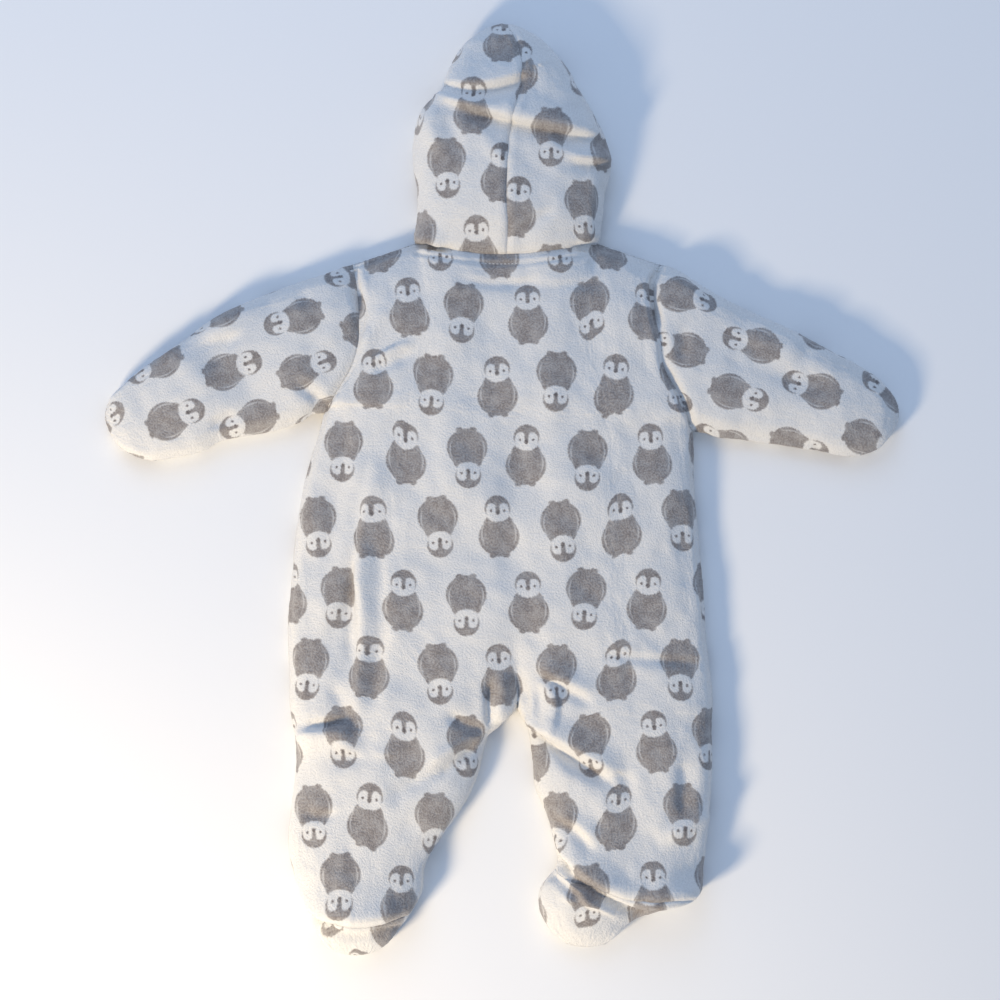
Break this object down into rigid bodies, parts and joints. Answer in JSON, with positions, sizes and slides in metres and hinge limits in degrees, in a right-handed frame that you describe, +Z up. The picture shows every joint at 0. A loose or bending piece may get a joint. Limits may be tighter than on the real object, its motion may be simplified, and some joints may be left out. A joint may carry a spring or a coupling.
{
  "type": "baby pramsuit",
  "caption": "Hooded, footed baby pramsuit in plush fleece with fold-over mitt cuffs and a front zip, laid flat on its front.",
  "frame": {"origin": "on the surface it lies on, under the middle of its box", "axes": "+Y from the feet to the hood, +Z up through the back, +X the wearer's right"},
  "size_m": [0.6666, 0.777, 0.047],
  "materials": {
    "plush": "plush pile fleece, off-white with a taupe animal print",
    "plush_hood": "plush pile fleece, off-white with a taupe animal print",
    "plush_sole": "plush pile fleece, off-white with a taupe animal print",
    "zip_tape": "woven tape",
    "zip_plastic": "moulded teeth",
    "zip_metal": "satin"
  },
  "bodies": {
    "suit": {"back": "plush", "front_left": "plush", "front_right": "plush", "hood_left": "plush_hood", "hood_right": "plush_hood", "sleeve_left": "plush", "sleeve_right": "plush", "mitt_left": "plush", "mitt_right": "plush", "sole_left": "plush_sole", "sole_right": "plush_sole", "foot_left": "plush_sole", "foot_right": "plush_sole", "zip_tape_left": "zip_tape", "zip_tape_right": "zip_tape", "zip_chain": "zip_plastic", "zip_slider": "zip_metal"},
    "pull": {"zip_pull": "zip_metal"}
  },
  "joints": [
    {"name": "pull_hinge", "type": "hinge", "parent": "suit", "child": "pull", "pos_m": [0.00374, 0.15996, 0.00386], "axis": [1, 0, 0], "range_deg": [-6, 140]}
  ]
}
